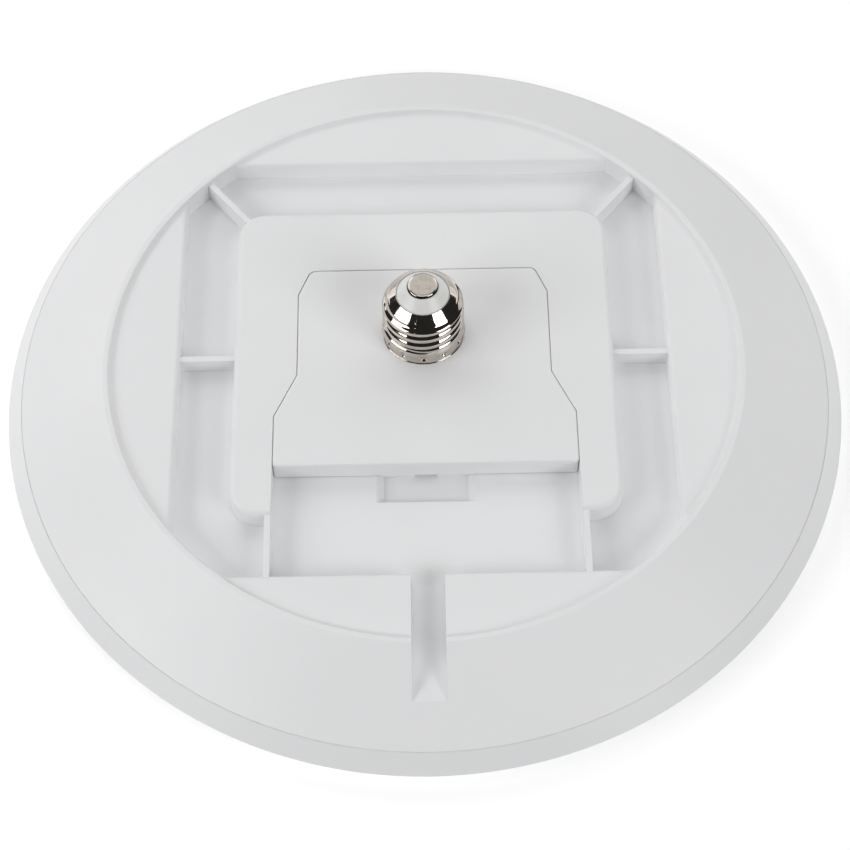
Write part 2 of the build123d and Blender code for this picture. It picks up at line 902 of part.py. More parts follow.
def contact_block():
    """Insulating block with a cell for each clip and two ears."""
    half = block_width / 2
    ear = block_screw_spacing / 2 + block_ear_width / 2
    body = block(-half, half, block_near, block_far, block_bottom, block_top)
    body = body + block(-ear, ear, block_near, block_near + block_ear_width, block_ear_bottom, block_bottom)
    shell = blade_clearance + clip_thickness + clip_clearance
    room_x = blade_width / 2 + shell
    room_z = blade_thickness / 2 + shell
    mouth_x = blade_width / 2 + blade_slot_clearance
    mouth_z = blade_thickness / 2 + blade_slot_clearance
    cell_near = block_near + clip_inset
    for x in blade_places:
        body = body - block(x - room_x, x + room_x, cell_near, cell_near + clip_length,
                            blade_height - room_z, blade_height + room_z)
        body = body - block(x - mouth_x, x + mouth_x, block_near - 1, cell_near + 1,
                            blade_height - mouth_z, blade_height + mouth_z)
        body = body - disc(x, supply_exit_y, wire_radius + wire_hole_clearance,
                           block_ear_bottom - 1, blade_height)
    for x, y in block_screw_places():
        body = body - disc(x, y, screw_hole_radius, block_ear_bottom - 1, block_bottom + 1)
    return body


def supply_wire(side):
    """From a clip down and back to the input connector."""
    x = side * blade_spacing / 2
    clip_bottom = blade_height - blade_thickness / 2 - blade_clearance - clip_thickness
    end_x = input_x + side * wire_spacing / 2
    mouth = input_y + connector_length / 2
    points = [
        (x, supply_exit_y, clip_bottom),
        (x, supply_exit_y, wire_level + supply_rise),
        (x * 0.6 + end_x * 0.4, supply_exit_y - supply_step, wire_level),
        (end_x, mouth + wire_lead_in, wire_level),
        (end_x, input_y + connector_grip, wire_level),
    ]
    return wire(points, wire_radius)


def led_wire(side):
    """From the output connector up through the gap and onto the LED board."""
    y = output_y + side * wire_spacing / 2
    rise = board_top + thin_wire_radius
    points = [
        (output_x + connector_grip, y, wire_level),
        (output_x + connector_length / 2 + wire_lead_in, y, wire_level),
        (board_inner_radius - led_wire_rise, y, rise),
        (board_inner_radius + led_wire_landing, y, rise),
    ]
    return wire(points, thin_wire_radius)


# Adapter plate with its screw neck
def adapter_posts():
    """Places of the posts that take the cover's screws."""
    return [(side * post_x, y) for side in (-1, 1) for y in (post_near_y, post_far_y)]


def adapter_plate():
    """Bottle-shaped plate with rails, screw posts, blade ledges and the neck that carries the shell."""
    body = plate_prism(0, 0, plate_bottom, plate_top)
    chamfer_end = plate_far - chamfer_length + eps
    side_edges = [e for e in body.edges().filter_by(Axis.Z) if e.center().Y < chamfer_end]
    body = fillet(side_edges, plate_corner_radius)
    body = fillet(body.faces().sort_by(Axis.Z)[-1].edges(), plate_edge_radius)
    body = body - plate_prism(-plate_wall, -plate_wall, plate_bottom - 1, skin_bottom)
    side = plate_narrow_width / 2
    rail_bottom = plate_bottom + rail_lift
    for sign in (-1, 1):
        x0, x1 = sorted((sign * (side - rail_bite), sign * (side + rail_depth)))
        body = body + block(x0, x1, rail_near, rail_far, rail_bottom, rail_bottom + rail_height)
    for x, y in adapter_posts():
        post = disc(x, y, post_radius, plate_bottom + cover_thickness, skin_bottom + bite)
        body = body + post - disc(x, y, screw_core_radius + screw_fit, plate_bottom, skin_bottom)
    blade_top = blade_height + blade_thickness / 2
    ledge = ledge_width / 2
    slit = blade_width / 2 + blade_fit
    for x in blade_places:
        body = body + block(x - ledge, x + ledge, blade_tail + ledge_inset, plate_far - plate_wall + bite,
                            blade_top, skin_bottom + bite)
        body = body - block(x - slit, x + slit, blade_tail, plate_far + 1,
                            blade_top - blade_thickness, blade_top)
    body = body + disc(0, base_y, shell_bore - neck_clearance, plate_top - 1, plate_top + neck_height)
    return body - disc(0, base_y, neck_bore_radius, skin_bottom - 1, plate_top + neck_height + 1)


def adapter_cover():
    """Bottom plate inside the rim, open round the latch tongue, with wedges that hold the blades up."""
    z1 = plate_bottom + cover_thickness
    inset = -plate_wall - cover_clearance
    body = plate_prism(inset, inset, plate_bottom, z1)
    half = tongue_width / 2 + tongue_gap
    body = body - block(-half, half, plate_near, tongue_root, plate_bottom - 1, z1 + 1)
    knuckle = cover_thickness / 2 + root_clearance
    body = body - Pos(0, tongue_root, tongue_axis) * Rot(0, 90, 0) * Cylinder(knuckle, 2 * half)
    for x, y in adapter_posts():
        body = body - disc(x, y, screw_hole_radius, plate_bottom - 1, z1 + 1)
        head = screw_head_radius + cover_head_clearance
        body = body - disc(x, y, head, plate_bottom - 1, plate_bottom + cover_head_depth)
    wedge = wedge_width / 2
    wedge_far = plate_far - plate_wall - cover_clearance
    for x in blade_places:
        body = body + block(x - wedge, x + wedge, wedge_far - wedge_length, wedge_far,
                            z1 - bite, blade_height - blade_thickness / 2 - wedge_gap)
    return body


def latch_tongue():
    """Tongue that swings up about its root, with two hooks and a lifting pad."""
    z0 = plate_bottom
    z1 = plate_bottom + cover_thickness
    half = tongue_width / 2
    body = block(-half, half, tongue_near, tongue_root, z0, z1)
    root = Rot(0, 90, 0) * Cylinder(cover_thickness / 2, tongue_width)
    body = body + Pos(0, tongue_root, tongue_axis) * root
    outline = [
        (hook_near, z0 + tongue_bite),
        (hook_near, z0 - hook_depth),
        (hook_near + hook_tip, z0 - hook_depth),
        (hook_far, z0),
        (hook_far, z0 + tongue_bite),
    ]
    for x0 in (-hook_outer, hook_inner):
        face = make_face(Polyline(*[(x0, y, z) for y, z in outline], close=True))
        body = body + extrude(face, hook_width, dir=(1, 0, 0))
    pad = [
        (tongue_near, z0 + tongue_bite),
        (tongue_near, z0 - tongue_bite),
        (tongue_near + lift_pad_ramp, z0 - lift_pad_depth),
        (hook_far, z0 - lift_pad_depth),
        (hook_far + lift_pad_ramp, z0),
        (hook_far + lift_pad_ramp, z0 + tongue_bite),
    ]
    reach = hook_inner - hook_clearance - lift_pad_clearance
    face = make_face(Polyline(*[(-reach, y, z) for y, z in pad], close=True))
    return body + extrude(face, 2 * reach, dir=(1, 0, 0))


def adapter_screw(x, y):
    """Flat-head screw that holds the cover to its post."""
    head_bottom = plate_bottom + screw_sink
    head_top = plate_bottom + cover_head_depth
    head = disc(x, y, screw_head_radius, head_bottom, head_top)
    slot = block(x - slot_length / 2, x + slot_length / 2, y - slot_width / 2, y + slot_width / 2,
                 head_bottom - eps, plate_bottom + cover_slot_depth)
    shank = disc(x, y, screw_core_radius, head_top, skin_bottom - screw_hole_end)
    return head - slot + shank


# Screw base
def on_base(shape):
    """Move a shape from the base's own axis to its place on the plate."""
    return Pos(0, base_y, plate_top) * shape


def screw_thread(z_low, z_high):
    """Rolled right-hand thread on a thin tube, cut off square at both ends.

    The round wire of metal that makes the crests runs on a helix; the helix is
    turned so that a crest passes the near side at its own measured height.
    """
    margin = thread_pitch / 2
    tube = disc(0, 0, thread_root_radius, z_low - margin, z_high + margin)
    tube = tube - disc(0, 0, shell_bore, z_low - 2 * margin, z_high + 2 * margin)
    start = z_low - margin
    turns = (z_high + margin - start) / thread_pitch
    share = (thread_near_crest - start) / thread_pitch
    lead = -90.0 - 360.0 * share
    path = Helix(thread_pitch, thread_pitch * turns, thread_crest_radius - thread_round_radius)
    path = Pos(0, 0, start) * Rot(0, 0, lead) * path
    section = Plane(origin=path @ 0, z_dir=path % 0) * Circle(thread_round_radius)
    crests = sweep(section, path=path, is_frenet=True)
    crests = crests - disc(0, 0, shell_bore + shell_sheet / 4, z_low - 2 * thread_pitch,
                           z_high + 2 * thread_pitch)
    whole = tube + crests
    return whole & disc(0, 0, skirt_lip_radius + 1, z_low, z_high)


def screw_shell():
    """Rolled thread, skirt with staking dimples and sloping shoulder, open at both ends."""
    belt = thread_crest_radius - belt_drop
    run = belt - shell_mouth_radius
    slope = (shell_height - shoulder_edge) / run
    mouth_bottom = shell_height - shell_sheet * math.hypot(1, slope)
    shoulder = turned([
        (shell_bore, shoulder_start),
        (thread_root_radius, shoulder_start),
        (belt, shoulder_start + shoulder_ramp),
        (belt, shoulder_edge),
        (shell_mouth_radius, shell_height),
        (shell_mouth_radius, mouth_bottom),
        (shell_bore, mouth_bottom - (shell_bore - shell_mouth_radius) * slope),
    ])
    skirt = turned([
        (shell_bore, 0.0),
        (skirt_lip_radius, 0.0),
        (skirt_lip_radius, skirt_lip_height * 0.6),
        (skirt_radius, skirt_lip_height),
        (skirt_radius, skirt_height - skirt_lip_step),
        (thread_root_radius, skirt_height),
        (shell_bore, skirt_height),
    ])
    body = screw_thread(skirt_height, shoulder_start) + skirt + shoulder
    for x, y in around(skirt_radius + dimple_radius / 2, dimple_count, -90):
        body = body - Pos(x, y, dimple_height) * Sphere(dimple_radius)
    return on_base(body)


def base_insulator():
    """White cone between shell and tip contact."""
    inside = shell_height - insulator_depth
    bore = contact_stem_radius + insulator_clearance
    outer = shell_mouth_radius - insulator_clearance
    body = turned([
        (bore, inside),
        (outer, inside),
        (outer, shell_height),
        (insulator_tip_radius, insulator_height),
        (bore, insulator_height),
    ])
    return on_base(body)


def centre_contact():
    """Tip contact: a button raised on its foot, with a rivet stem through the cone."""
    stem_end = insulator_height - contact_stem_length
    rim_bottom = insulator_height + contact_lift
    body = turned([
        (0, stem_end),
        (contact_stem_radius, stem_end),
        (contact_stem_radius, insulator_height),
        (contact_foot_radius, insulator_height),
        (contact_foot_radius, rim_bottom),
        (contact_radius, rim_bottom),
        (contact_radius, base_height - contact_edge),
        (contact_radius - contact_edge * 0.3, base_height - contact_edge * 0.3),
        (contact_radius - contact_edge, base_height),
        (0, base_height),
    ])
    return on_base(body)


def contact_blade(x):
    """Flat blade with a rounded tip."""
    blade = block(x - blade_width / 2, x + blade_width / 2, blade_tail, blade_tip,
                  blade_height - blade_thickness / 2, blade_height + blade_thickness / 2)
    tips = [e for e in blade.edges().filter_by(Axis.Z) if e.center().Y > blade_tip - eps]
    return fillet(tips, blade_tip_radius)


def live_wire():
    """From the stem of the tip contact down the neck to the right blade."""
    stem = plate_top + insulator_height - contact_stem_length
    x = blade_spacing / 2
    return wire([
        (0, base_y, stem),
        (0, base_y, blade_height + neck_wire_rise),
        (live_wire_lean, base_y + neck_wire_step, blade_height),
        (x, base_y + blade_wire_turn, blade_height),
        (x, blade_tail, blade_height),
    ], wire_radius)


def neutral_wire():
    """From the inside of the shell's shoulder down the neck to the left blade."""
    x = -blade_spacing / 2
    top = plate_top + neck_height + wire_radius + wire_neck_gap
    return wire([
        (-shell_bore + wire_neck_gap, base_y, top),
        (-neutral_wire_start, base_y, top),
        (-neutral_wire_drop, base_y, blade_height + neck_wire_rise),
        (-neutral_wire_lean, base_y + neck_wire_step, blade_height),
        (x, base_y + blade_wire_turn, blade_height),
        (x, blade_tail, blade_height),
    ], wire_radius)


sides = (-1, 1)
board_heads = board_bottom - screw_head_height
cover_heads = board_bottom - cup_wall - screw_head_height
driver_heads = driver_bottom - screw_head_height
block_heads = block_ear_bottom - screw_head_height
board_circle = around(board_screw_circle, board_screw_count)
cover_circle = around(cover_screw_circle, cover_screw_count, cover_screw_start)

save("back_housing", back_housing())
save("front_diffuser", front_diffuser())
save("led_board", led_board())
save("led_chips", [led_chip(x, y, a) for x, y, a in led_places()])
save("led_lenses", [led_lens(x, y) for x, y, a in led_places()])
save("board_screws", [screw(x, y, board_heads, board_screw_tip) for x, y in board_circle])
save("driver_cover", driver_cover())
save("cover_screws", [screw(x, y, cover_heads, floor_screw_tip) for x, y in cover_circle])
save("driver_board", driver_board())
save("driver_screws", [screw(x, y, driver_heads, floor_screw_tip) for x, y in driver_screw_places()])
save("input_capacitor", lying_capacitor(input_capacitor_place))
save("output_capacitor", lying_capacitor(output_capacitor_place))
save("power_inductor", power_inductor(inductor_place))
save("bridge_rectifier", flat_package(bridge_place, bridge_size, 2))
save("driver_chip", flat_package(chip_place, chip_body_size, 4))
save("fuse_resistor", fuse_resistor(fuse_place))
save("film_capacitor", film_capacitor(film_place))
save("surge_varistor", surge_varistor(varistor_place))
save("input_connector", connector(input_x, input_y, False))
save("output_connector", connector(output_x, output_y, True))
save("contact_block", contact_block())
save("contact_clips", [contact_clip(x) for x in blade_places])
save("block_screws", [screw(x, y, block_heads, block_screw_tip) for x, y in block_screw_places()])
save("supply_wires", [supply_wire(side) for side in sides])
save("led_wires", [led_wire(side) for side in sides])

save("adapter_plate", adapter_plate())
save("adapter_cover", adapter_cover())
save("adapter_screws", [adapter_screw(x, y) for x, y in adapter_posts()])
save("screw_shell", screw_shell())
save("base_insulator", base_insulator())
save("centre_contact", centre_contact())
save("contact_blades", [contact_blade(x) for x in blade_places])
save("live_wire", live_wire())
save("neutral_wire", neutral_wire())
save("latch_tongue", latch_tongue())
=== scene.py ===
# %% [markdown]
# # The looks of a round ceiling light that lies face down
#
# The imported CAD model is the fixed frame: its sizes and places are right and stay as
# they are. This script adds what CAD doesn't have, which is finish, wear and light, and
# it rebuilds the few pieces whose real surface is finer than their solid.

# %% Load the frame
import json
import math

import bpy
import numpy as np
from mathutils import Matrix, Vector


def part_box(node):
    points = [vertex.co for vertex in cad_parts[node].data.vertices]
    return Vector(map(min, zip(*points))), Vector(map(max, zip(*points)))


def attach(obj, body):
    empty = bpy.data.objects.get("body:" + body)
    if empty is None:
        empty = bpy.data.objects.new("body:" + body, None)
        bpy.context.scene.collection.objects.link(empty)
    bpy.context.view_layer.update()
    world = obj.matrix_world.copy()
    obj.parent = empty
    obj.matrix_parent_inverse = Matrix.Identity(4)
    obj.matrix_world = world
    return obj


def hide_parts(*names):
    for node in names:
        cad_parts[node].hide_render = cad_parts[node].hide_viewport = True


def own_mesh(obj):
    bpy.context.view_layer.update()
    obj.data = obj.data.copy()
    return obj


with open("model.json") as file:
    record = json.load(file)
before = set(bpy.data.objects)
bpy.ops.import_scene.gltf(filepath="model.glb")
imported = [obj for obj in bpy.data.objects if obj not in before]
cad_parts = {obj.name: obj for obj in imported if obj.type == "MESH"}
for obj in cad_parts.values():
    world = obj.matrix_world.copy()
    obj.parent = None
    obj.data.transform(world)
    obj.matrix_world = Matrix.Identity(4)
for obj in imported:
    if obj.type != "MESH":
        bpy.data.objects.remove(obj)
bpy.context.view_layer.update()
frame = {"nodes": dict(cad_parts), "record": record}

MM = 0.001
nodes = frame["nodes"]

# %% [markdown]
# ## Shader maths that reads like Python
#
# A material's pattern is arithmetic on numbers that change over the surface. Node by
# node that is slow to write and slow to read. The class below wraps one socket and
# gives it the usual operators, so that `mask * 0.2 + 0.4` adds the Math nodes itself.
# Colours and directions go through Mix and Vector Math nodes instead, because a Math
# node would turn a colour grey.


# %% A socket with operators
class Field:
    """A number that varies over a surface: one output socket of a material's nodes."""

    def __init__(self, finish, socket):
        self.finish = finish
        self.socket = socket

    def math(self, operation, *others):
        """One Math node on this field and the others, in that order."""
        values = dict(enumerate((self,) + others))
        return self.finish.node("ShaderNodeMath", {"operation": operation}, values)

    def __add__(self, other):
        return self.math("ADD", other)

    __radd__ = __add__

    def __mul__(self, other):
        return self.math("MULTIPLY", other)

    __rmul__ = __mul__

    def steps(self, low, high):
        """0 below low, 1 above high, and a smooth S between them."""
        values = {"Value": self, "From Min": low, "From Max": high}
        return self.finish.node("ShaderNodeMapRange", {"interpolation_type": "SMOOTHSTEP"}, values)


# %% [markdown]
# ## One builder for every finish
#
# Each finish is one Principled shader. Values that are the same all over are set on its
# sockets directly. Anything that varies is a field, and is linked. `node` makes every
# other node: first its settings, then the values or links of its sockets.


# %% The material builder
class Finish:
    """A material with one Principled shader and the nodes that drive it."""

    def __init__(self, name, constants):
        self.material = bpy.data.materials.new(name)
        self.material.use_nodes = True
        self.tree = self.material.node_tree
        self.shader = self.tree.nodes["Principled BSDF"]
        for socket, value in constants.items():
            self.feed(self.shader, socket, value)
        place = self.tree.nodes.new("ShaderNodeTexCoord")
        self.place = Field(self, place.outputs["Object"])

    def feed(self, node, socket, value):
        """Link a field into a socket, or set a plain value on it."""
        target = node.inputs[socket]
        if isinstance(value, Field):
            self.tree.links.new(value.socket, target)
        elif target.type == "RGBA" and len(value) == 3:
            target.default_value = (*value, 1.0)
        else:
            target.default_value = value

    def node(self, kind, settings=None, values=None, output=0):
        """Any node: settings first, then its sockets."""
        made = self.tree.nodes.new(kind)
        for setting, value in (settings or {}).items():
            setattr(made, setting, value)
        for socket, value in (values or {}).items():
            self.feed(made, socket, value)
        return Field(self, made.outputs[output])

    def noise(self, size_mm, detail=2.0, stretch=(1, 1, 1), roughness=0.5):
        """Cloudy noise, 0 to 1, whose blotches are about size_mm across."""
        place = self.node("ShaderNodeMapping", {}, {"Vector": self.place, "Scale": stretch})
        values = {"Vector": place, "Scale": 1 / (size_mm * MM), "Detail": detail, "Roughness": roughness}
        return self.node("ShaderNodeTexNoise", {}, values)

    def mix(self, amount, first, second):
        """Colour that goes from first to second as amount goes from 0 to 1."""
        values = {0: amount, 6: first, 7: second}
        return self.node("ShaderNodeMix", {"data_type": "RGBA"}, values, output=2)

    def bump(self, height_mm, strength=1.0, under=None):
        """Relief whose height is a field in millimetres."""
        values = {"Height": height_mm, "Distance": MM, "Strength": strength}
        if under is not None:
            values["Normal"] = under
        return self.node("ShaderNodeBump", {}, values)

    def coordinate(self, axis):
        """One coordinate of the place on the object, in millimetres."""
        parts = self.node("ShaderNodeSeparateXYZ", {}, {"Vector": self.place}, "XYZ".index(axis))
        return parts * (1 / MM)

    def wear(self, colour, rough, relief):
        """Link what varies over the surface to the shader's own sockets."""
        for socket, field in {"Base Color": colour, "Roughness": rough, "Normal": relief}.items():
            self.feed(self.shader, socket, field)
        return self.material


def linear(*srgb):
    """A colour given as 0 to 255 screen values, in the linear light that shaders use."""
    share = np.array(srgb, float) / 255
    return tuple(np.where(share <= 0.04045, share / 12.92, ((share + 0.055) / 1.055) ** 2.4).tolist())


print("the builder is ready; a screen grey of 230 is", round(linear(230, 230, 230)[0], 3), "in linear light")

# %% [markdown]
# ## White moulded plastic
#
# The back and the adapter are injection moulded in white flame-retardant plastic. The
# mould is spark eroded, which leaves a fine even grain and a soft sheen. Thick ribs and
# bosses cool more slowly, so the sheen drifts a little over the face. A flat white
# would look like paper, so the grain goes into the relief, the drift into the
# roughness, and a faint cloudiness into the colour.


# %% Moulded plastic
def moulded_plastic(name, colour, sheen=0.42, grain_mm=0.32, relief_mm=0.006, round_mm=0.0):
    """White plastic: a fine grain, drifting sheen, faint clouds and a few dust specks."""
    finish = Finish(name, {})
    clouds = finish.noise(38.0, detail=3.0)
    dust = finish.noise(1.1, detail=1.0).steps(0.78, 0.86)
    shade = finish.mix(clouds.steps(0.3, 0.7), tuple(c * 0.985 for c in colour), colour)
    shade = finish.mix(dust * 0.1, shade, tuple(c * 0.72 for c in colour))
    rough = finish.noise(14.0, detail=2.0) * 0.1 + (sheen - 0.05) + dust * 0.1
    under = None
    if round_mm:
        under = finish.node("ShaderNodeBevel", {"samples": 6}, {"Radius": round_mm * MM})
    grain = finish.noise(grain_mm, detail=2.0, roughness=0.6)
    relief = finish.bump(grain * relief_mm, 1.0, under)
    return finish.wear(shade, rough, relief)


WHITE = linear(240, 240.5, 241.5)
white_housing = moulded_plastic("white_housing", WHITE, round_mm=0.35)
white_adapter = moulded_plastic("white_adapter", WHITE, sheen=0.38, round_mm=0.3)
print("made", white_housing.name, "and", white_adapter.name)

# %% [markdown]
# ## Milky front
#
# The front is a thin diffuser moulded in opal acrylic, polished outside. Only its rim
# shows from behind. It is a little glossier than the back.


# %% Opal plastic
def opal_plastic(name, colour):
    """Milk-white plastic: nearly smooth, with faint flow clouds."""
    finish = Finish(name, {})
    clouds = finish.noise(60.0, detail=2.0).steps(0.3, 0.7)
    shade = finish.mix(clouds, tuple(c * 0.99 for c in colour), colour)
    sheen = finish.noise(9.0, detail=2.0) * 0.08 + 0.26
    relief = finish.bump(finish.noise(1.4, detail=1.0) * 0.002)
    return finish.wear(shade, sheen, relief)


opal_front = opal_plastic("opal_front", linear(235, 235.5, 236.5))
print("made", opal_front.name)

# %% [markdown]
# ## Nickel, tin and the other metals
#
# The base shell is brass sheet under bright nickel. Rolling the thread leaves faint
# lines round it, and handling leaves duller patches in the valleys. The tip is a
# solder-dipped button, so it is uneven and a shade warmer. Round its foot a thin black
# line is painted shadow: it stands for the shadow in the seat under the button's rim.


# %% Metals
def plated_metal(name, bright, dull, gloss, lines_mm=0.0, patch_mm=3.0, relief_mm=0.004,
                 painted_shadow_up_to_mm=None):
    """Metal with duller patches, fine lines round its axis, and, where a height is given, a black band of
    painted shadow below it.
    """
    finish = Finish(name, {"Metallic": 1.0})
    patches = finish.noise(patch_mm, detail=3.0).steps(0.42, 0.75)
    shade = finish.mix(patches, bright, dull)
    if painted_shadow_up_to_mm:
        # Painted shadow: below the given height the colour turns black, for the shadow round the tip's foot.
        shade = finish.mix(finish.coordinate("Z").steps(painted_shadow_up_to_mm - 0.06, painted_shadow_up_to_mm + 0.06), PAINTED_SHADOW, shade)
    scuffs = finish.noise(0.5, detail=2.0)
    rough = patches * (0.02 + gloss * 0.6) + scuffs * 0.04 + gloss
    height = scuffs * relief_mm
    if lines_mm:
        height = height + finish.noise(lines_mm, detail=1.0, stretch=(0.06, 0.06, 1)) * relief_mm
    return finish.wear(shade, rough, finish.bump(height))


# Painted shadow round the tip's foot: its black colour, and how far below the tip's top it reaches.
PAINTED_SHADOW = linear(38, 34, 32)
PAINTED_SHADOW_BELOW_TIP = 0.32
tip_top = max(point.co.z for point in nodes["centre_contact"].data.vertices) / MM
nickel = plated_metal("nickel_shell", linear(211, 204, 196), linear(198, 190, 181), 0.03,
                      lines_mm=0.4, relief_mm=0.001)
tin = plated_metal("tinned_contact", linear(199, 192, 183), linear(186, 178, 168), 0.08,
                   patch_mm=1.8, relief_mm=0.004, painted_shadow_up_to_mm=tip_top - PAINTED_SHADOW_BELOW_TIP)
brass = plated_metal("brass", linear(222, 190, 118), linear(176, 138, 76), 0.22)
zinc = plated_metal("steel_screws", linear(196, 198, 200), linear(150, 152, 156), 0.3)
print("made", [m.name for m in (nickel, tin, brass, zinc)])

# %% [markdown]
# ## What sits inside
#
# None of this shows while the light is closed, but a reused part may be opened. Each
# piece gets the finish of its kind: speckled solder mask, shrink sleeve, sintered
# ferrite, moulded nylon.


# %% Inner finishes
def speckled(name, colour, other, size_mm, sheen, relief_mm=0.01, constants=None):
    """A colour that drifts towards another in specks of a given size, with matching relief."""
    finish = Finish(name, constants or {})
    specks = finish.noise(size_mm, detail=3.0)
    shade = finish.mix(specks.steps(0.35, 0.7), colour, other)
    rough = specks * 0.12 + (sheen - 0.06)
    return finish.wear(shade, rough, finish.bump(specks * relief_mm))


inner = {
    "white_board": speckled("white_board", linear(238, 238, 236), linear(228, 229, 228), 6.0, 0.34),
    "phosphor": speckled("phosphor", linear(240, 214, 96), linear(226, 190, 60), 0.4, 0.5),
    "clear_lens": speckled("clear_lens", linear(242, 244, 246), linear(236, 239, 242), 3.0, 0.1,
                           constants={"Transmission Weight": 0.85, "IOR": 1.49}),
    "white_cover": speckled("white_cover", linear(234, 234, 232), linear(226, 226, 224), 9.0, 0.5),
    "green_board": speckled("green_board", linear(24, 96, 54), linear(16, 74, 40), 4.0, 0.35),
    "capacitor_sleeve": speckled("capacitor_sleeve", linear(30, 30, 36), linear(44, 44, 52), 2.5, 0.28),
    "ferrite": speckled("ferrite", linear(52, 52, 54), linear(70, 70, 70), 0.5, 0.7, 0.03),
    "black_mould": speckled("black_mould", linear(28, 28, 30), linear(40, 40, 42), 0.3, 0.6, 0.02),
    "resistor_body": speckled("resistor_body", linear(150, 174, 140), linear(128, 152, 120), 1.0, 0.5),
    "yellow_case": speckled("yellow_case", linear(222, 182, 52), linear(206, 164, 40), 2.0, 0.35),
    "blue_coating": speckled("blue_coating", linear(40, 82, 150), linear(28, 62, 124), 1.2, 0.3),
    "nylon": speckled("nylon", linear(232, 230, 222), linear(222, 220, 210), 1.5, 0.45),
    "red_wire": speckled("red_wire", linear(176, 34, 30), linear(150, 26, 24), 1.5, 0.4),
    "black_wire": speckled("black_wire", linear(30, 30, 32), linear(44, 44, 46), 1.5, 0.4),
    "insulator": speckled("insulator", linear(229, 229, 227), linear(225, 225, 223), 6.0, 0.3),
}
finishes = dict(inner, white_housing=white_housing, white_adapter=white_adapter, opal_front=opal_front,
                nickel_shell=nickel, tinned_contact=tin, brass=brass, steel_screws=zinc)
print(len(finishes), "finishes")

# %% Give every CAD node its finish
for part in frame["record"]["subparts"]:
    solid = nodes[part["node"]]
    solid.data.materials.clear()
    solid.data.materials.append(finishes[part["material_slot"]])
print("dressed", len(nodes), "CAD nodes")

# %% [markdown]
# ## Surfaces from grids
#
# A turned or rolled piece is a grid: one direction runs round the axis, the other along
# the profile. Both are closed here, because each profile comes back to its start, so
# the mesh is one watertight skin with no poles left open.


# %% From a grid of points to a mesh piece
def closed_skin(name, points, slot, body, stands_for):
    """A mesh from an array of points [round, along, xyz] whose both directions close up."""
    around, along = points.shape[:2]
    index = np.arange(around * along).reshape(around, along)
    right = np.roll(index, -1, axis=0)
    up = np.roll(index, -1, axis=1)
    corner = np.roll(right, -1, axis=1)
    faces = np.stack([index, right, corner, up], axis=-1).reshape(-1, 4)
    return skin_piece(name, points.reshape(-1, 3), faces, slot, body, stands_for)


def skin_piece(name, points, faces, slot, body, stands_for):
    """Put points (in millimetres) and faces into a mesh that rides on a body."""
    mesh = bpy.data.meshes.new(name)
    mesh.from_pydata((points * MM).tolist(), [], faces.tolist())
    mesh.shade_smooth()
    mesh.materials.append(finishes[slot])
    piece = bpy.data.objects.new(name, mesh)
    bpy.context.scene.collection.objects.link(piece)
    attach(piece, body)
    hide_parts(stands_for)
    low, high = points.min(0), points.max(0)
    print(f"{name}: {len(faces)} faces, {np.round(high - low, 2).tolist()} mm")
    return piece


def along_profile(corners, step, closed=True):
    """Points every step or so along straight runs between corners, keeping each corner."""
    corners = np.array(corners, float)
    ends = np.roll(corners, -1, axis=0) if closed else corners[1:]
    runs = [np.linspace(a, b, max(2, int(np.ceil(np.linalg.norm(b - a) / step)) + 1))[:-1]
            for a, b in zip(corners, ends)]
    return np.concatenate(runs if closed else runs + [corners[-1:]])


def softened(profile, rounds):
    """The closed profile, rounded: each pass averages every point with its two neighbours."""
    for _ in range(rounds):
        profile = (np.roll(profile, 1, axis=0) + 2 * profile + np.roll(profile, -1, axis=0)) / 4
    return profile


# %% [markdown]
# ## The screw shell
#
# The shell is thin sheet with a rolled knuckle thread: alternating round crests and
# valleys, not the sharp vees of a machine screw. A helix swept in CAD gives its size,
# but the real one has soft entries where the thread runs out, staking dimples that hold
# it to the neck, and a pressed shoulder. So it is one surface r(angle, height): the
# sheet's profile plus the thread's wave, faded out at both ends, minus the dimples.


# %% Measures of the base, in millimetres above the plate
base_low, base_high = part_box("screw_shell")
axis_y = (base_low.y + base_high.y) / 2 / MM
plate_top = base_low.z / MM
CREST, ROOT, PITCH = 13.15, 12.15, 3.629  # radii of the thread's crests and valleys, and its pitch
NEAR_CREST = 8.68  # height of a crest at the near side
SKIRT = 13.3  # radius of the plain skirt below the thread
DIMPLES, DIMPLE_HEIGHT, DIMPLE_RADIUS, DIMPLE_DEPTH = 12, 2.4, 0.9, 0.85
DIMPLE_STRETCH = 1.2  # how much taller than wide a dimple is
print("base axis at y", round(axis_y, 2), "and the plate's top at", round(plate_top, 2))


# %% The thread
def fade(value, low, high):
    """Smooth step from 0 at low to 1 at high."""
    share = np.clip((value - low) / (high - low), 0, 1)
    return share * share * (3 - 2 * share)


